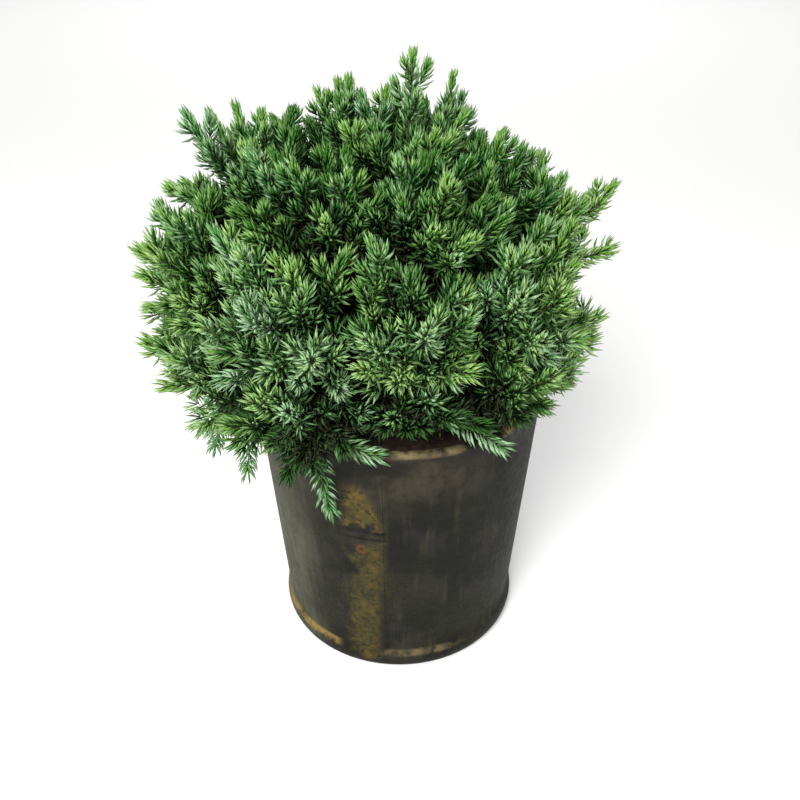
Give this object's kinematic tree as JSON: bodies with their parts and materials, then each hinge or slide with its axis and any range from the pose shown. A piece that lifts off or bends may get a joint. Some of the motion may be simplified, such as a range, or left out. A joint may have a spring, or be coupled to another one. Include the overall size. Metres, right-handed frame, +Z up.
{
  "type": "potted dwarf juniper",
  "caption": "Dwarf blue juniper shrub, a dense mound of short needled shoots, growing in a tapered round plastic nursery pot filled with potting mix.",
  "frame": {"origin": "centre of the pot's flat underside", "axes": "+Z up, -Y towards the front of the picture, +X to its right"},
  "size_m": [0.2593, 0.2464, 0.3433],
  "materials": {
    "pot": "weathered semi-matte dark plastic, mud stained",
    "soil": "dark loose potting mix with bark chips",
    "bark": "rough grey-brown bark",
    "foliage": "short awl-shaped needles, green with blue-grey inner faces"
  },
  "bodies": {
    "root": {"pot": "pot", "soil": "soil", "stem": "bark", "bough_skirt_01": "bark", "bough_skirt_02": "bark", "bough_skirt_03": "bark", "bough_skirt_04": "bark", "bough_skirt_05": "bark", "bough_skirt_06": "bark", "bough_skirt_07": "bark", "bough_skirt_08": "bark", "bough_skirt_09": "bark", "bough_skirt_10": "bark", "bough_waist_01": "bark", "bough_waist_02": "bark", "bough_waist_03": "bark", "bough_waist_04": "bark", "bough_waist_05": "bark", "bough_waist_06": "bark", "bough_waist_07": "bark", "bough_waist_08": "bark", "bough_waist_09": "bark", "bough_shoulder_01": "bark", "bough_shoulder_02": "bark", "bough_shoulder_03": "bark", "bough_shoulder_04": "bark", "bough_shoulder_05": "bark", "bough_shoulder_06": "bark", "foliage_skirt_01": "foliage", "foliage_skirt_02": "foliage", "foliage_skirt_03": "foliage", "foliage_skirt_04": "foliage", "foliage_skirt_05": "foliage", "foliage_skirt_06": "foliage", "foliage_skirt_07": "foliage", "foliage_skirt_08": "foliage", "foliage_skirt_09": "foliage", "foliage_skirt_10": "foliage", "foliage_waist_01": "foliage", "foliage_waist_02": "foliage", "foliage_waist_03": "foliage", "foliage_waist_04": "foliage", "foliage_waist_05": "foliage", "foliage_waist_06": "foliage", "foliage_waist_07": "foliage", "foliage_waist_08": "foliage", "foliage_waist_09": "foliage", "foliage_shoulder_01": "foliage", "foliage_shoulder_02": "foliage", "foliage_shoulder_03": "foliage", "foliage_shoulder_04": "foliage", "foliage_shoulder_05": "foliage", "foliage_shoulder_06": "foliage", "foliage_top_01": "foliage"}
  },
  "joints": []
}
